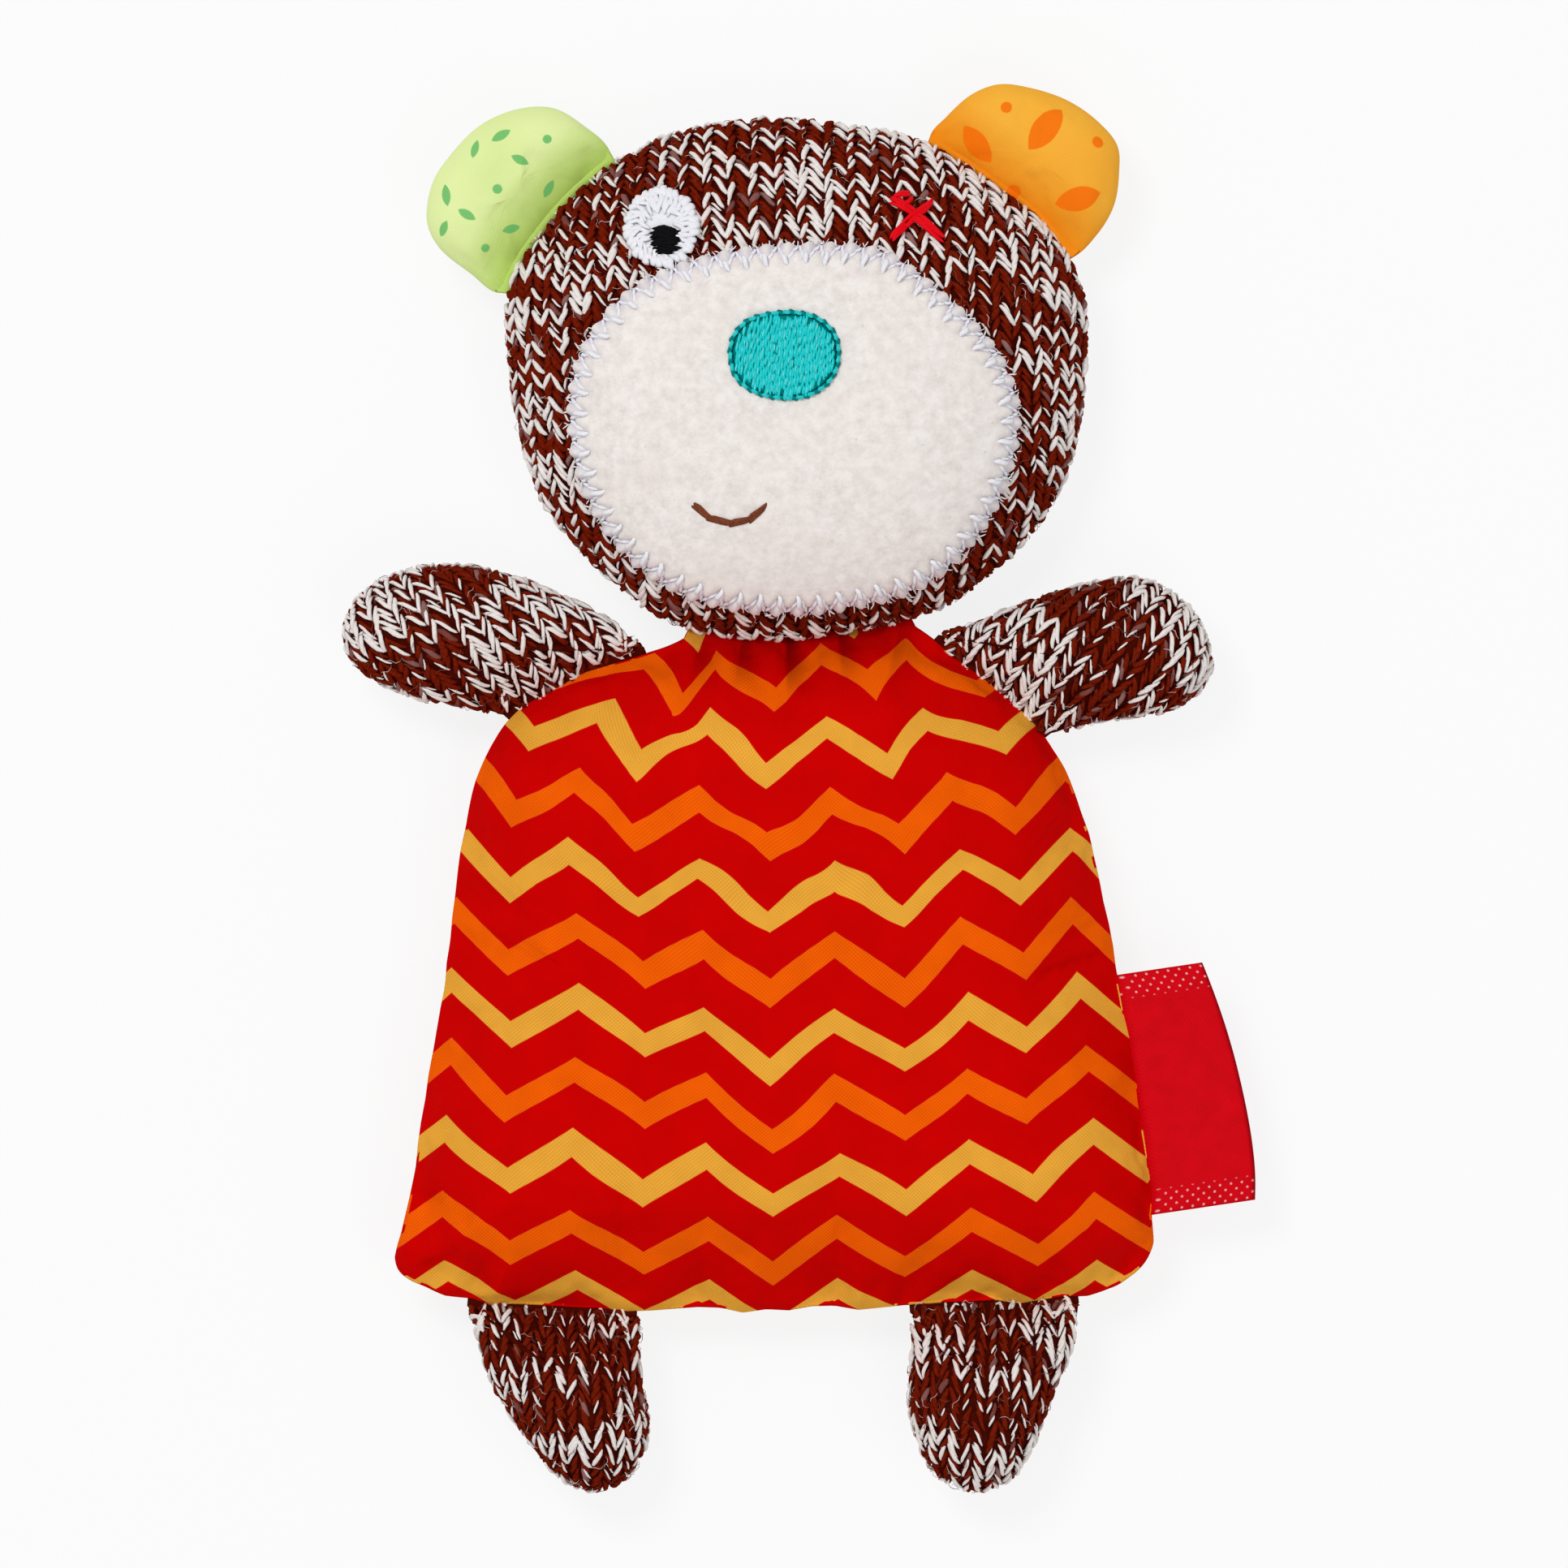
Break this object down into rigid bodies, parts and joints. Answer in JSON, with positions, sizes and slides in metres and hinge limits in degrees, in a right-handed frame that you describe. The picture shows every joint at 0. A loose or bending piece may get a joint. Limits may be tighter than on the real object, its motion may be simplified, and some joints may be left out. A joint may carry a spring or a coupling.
{
  "type": "plush bear",
  "caption": "Flat stuffed bear with a marled knit head and limbs, a felt muzzle, printed cloth ears and a zigzag-print body bag.",
  "frame": {"origin": "on the floor plane under the middle of the body, on the flat that the stuffed back rests on", "axes": "+Z out of the bear's front, away from the floor it lies on; +Y along the body towards the head; +X to the right as seen from the front"},
  "size_m": [0.1035, 0.1599, 0.0231],
  "materials": {
    "marled_knit": "marled brown and off-white stockinette",
    "chevron_cloth": "plain weave, printed with zigzag stripes, slight sheen",
    "green_cloth": "printed plain weave",
    "orange_cloth": "printed plain weave",
    "felt": "soft off-white felt",
    "filling": "polyester fibre",
    "white_thread": "embroidery thread",
    "teal_thread": "glossy embroidery thread",
    "black_thread": "embroidery thread",
    "red_thread": "embroidery thread",
    "brown_thread": "sewing thread",
    "label_ribbon": "woven satin ribbon"
  },
  "bodies": {
    "torso": {"body_front_panel": "chevron_cloth", "body_back_panel": "chevron_cloth", "body_filling": "filling"},
    "head": {"head_front_panel": "marled_knit", "head_back_panel": "marled_knit", "head_filling": "filling", "muzzle_patch": "felt", "muzzle_zigzag_stitch": "white_thread", "nose_patch": "teal_thread", "nose_border_stitch": "teal_thread", "mouth_stitch": "brown_thread", "eye_ring": "white_thread", "eye_pupil": "black_thread", "cross_eye_stitch": "red_thread"},
    "green_ear": {"green_ear_front_panel": "green_cloth", "green_ear_back_panel": "green_cloth", "green_ear_wadding": "filling"},
    "orange_ear": {"orange_ear_front_panel": "orange_cloth", "orange_ear_back_panel": "orange_cloth", "orange_ear_wadding": "filling"},
    "left_arm": {"left_arm_front_panel": "marled_knit", "left_arm_back_panel": "marled_knit", "left_arm_filling": "filling"},
    "right_arm": {"right_arm_front_panel": "marled_knit", "right_arm_back_panel": "marled_knit", "right_arm_filling": "filling"},
    "left_leg": {"left_leg_front_panel": "marled_knit", "left_leg_back_panel": "marled_knit", "left_leg_filling": "filling"},
    "right_leg": {"right_leg_front_panel": "marled_knit", "right_leg_back_panel": "marled_knit", "right_leg_filling": "filling"},
    "side_label": {"side_label": "label_ribbon"}
  },
  "joints": [
    {"name": "neck_nod", "type": "hinge", "parent": "torso", "child": "head", "pos_m": [0.0023, 0.03817, 0.0075], "axis": [0.9983, 0.0584, 0], "range_deg": [-60, 60]},
    {"name": "green_ear_fold", "type": "hinge", "parent": "head", "child": "green_ear", "pos_m": [-0.02547, 0.08609, 0.0075], "axis": [0.6383, 0.7698, 0], "range_deg": [-45, 45], "stiffness_Nm_per_rad": 0.0005},
    {"name": "orange_ear_fold", "type": "hinge", "parent": "head", "child": "orange_ear", "pos_m": [0.0262, 0.08878, 0.0075], "axis": [0.8197, -0.5728, 0], "range_deg": [-45, 45], "stiffness_Nm_per_rad": 0.0005},
    {"name": "left_arm_swing", "type": "hinge", "parent": "torso", "child": "left_arm", "pos_m": [-0.02219, 0.03402, 0.0075], "axis": [0.9245, 0.3813, 0], "range_deg": [-65, 65]},
    {"name": "right_arm_swing", "type": "hinge", "parent": "torso", "child": "right_arm", "pos_m": [0.02467, 0.03268, 0.0075], "axis": [0.8001, -0.5998, 0], "range_deg": [-65, 65]},
    {"name": "left_leg_swing", "type": "hinge", "parent": "torso", "child": "left_leg", "pos_m": [-0.02524, -0.03804, 0.0075], "axis": [-0.9993, 0.0375, 0], "range_deg": [-70, 70]},
    {"name": "right_leg_swing", "type": "hinge", "parent": "torso", "child": "right_leg", "pos_m": [0.02483, -0.03741, 0.0075], "axis": [-0.999, -0.0436, 0], "range_deg": [-70, 70]},
    {"name": "label_fold", "type": "hinge", "parent": "torso", "child": "side_label", "pos_m": [0.04161, -0.01363, 0.0075], "axis": [0.1464, -0.9892, 0], "range_deg": [-70, 70], "stiffness_Nm_per_rad": 0.0002}
  ]
}
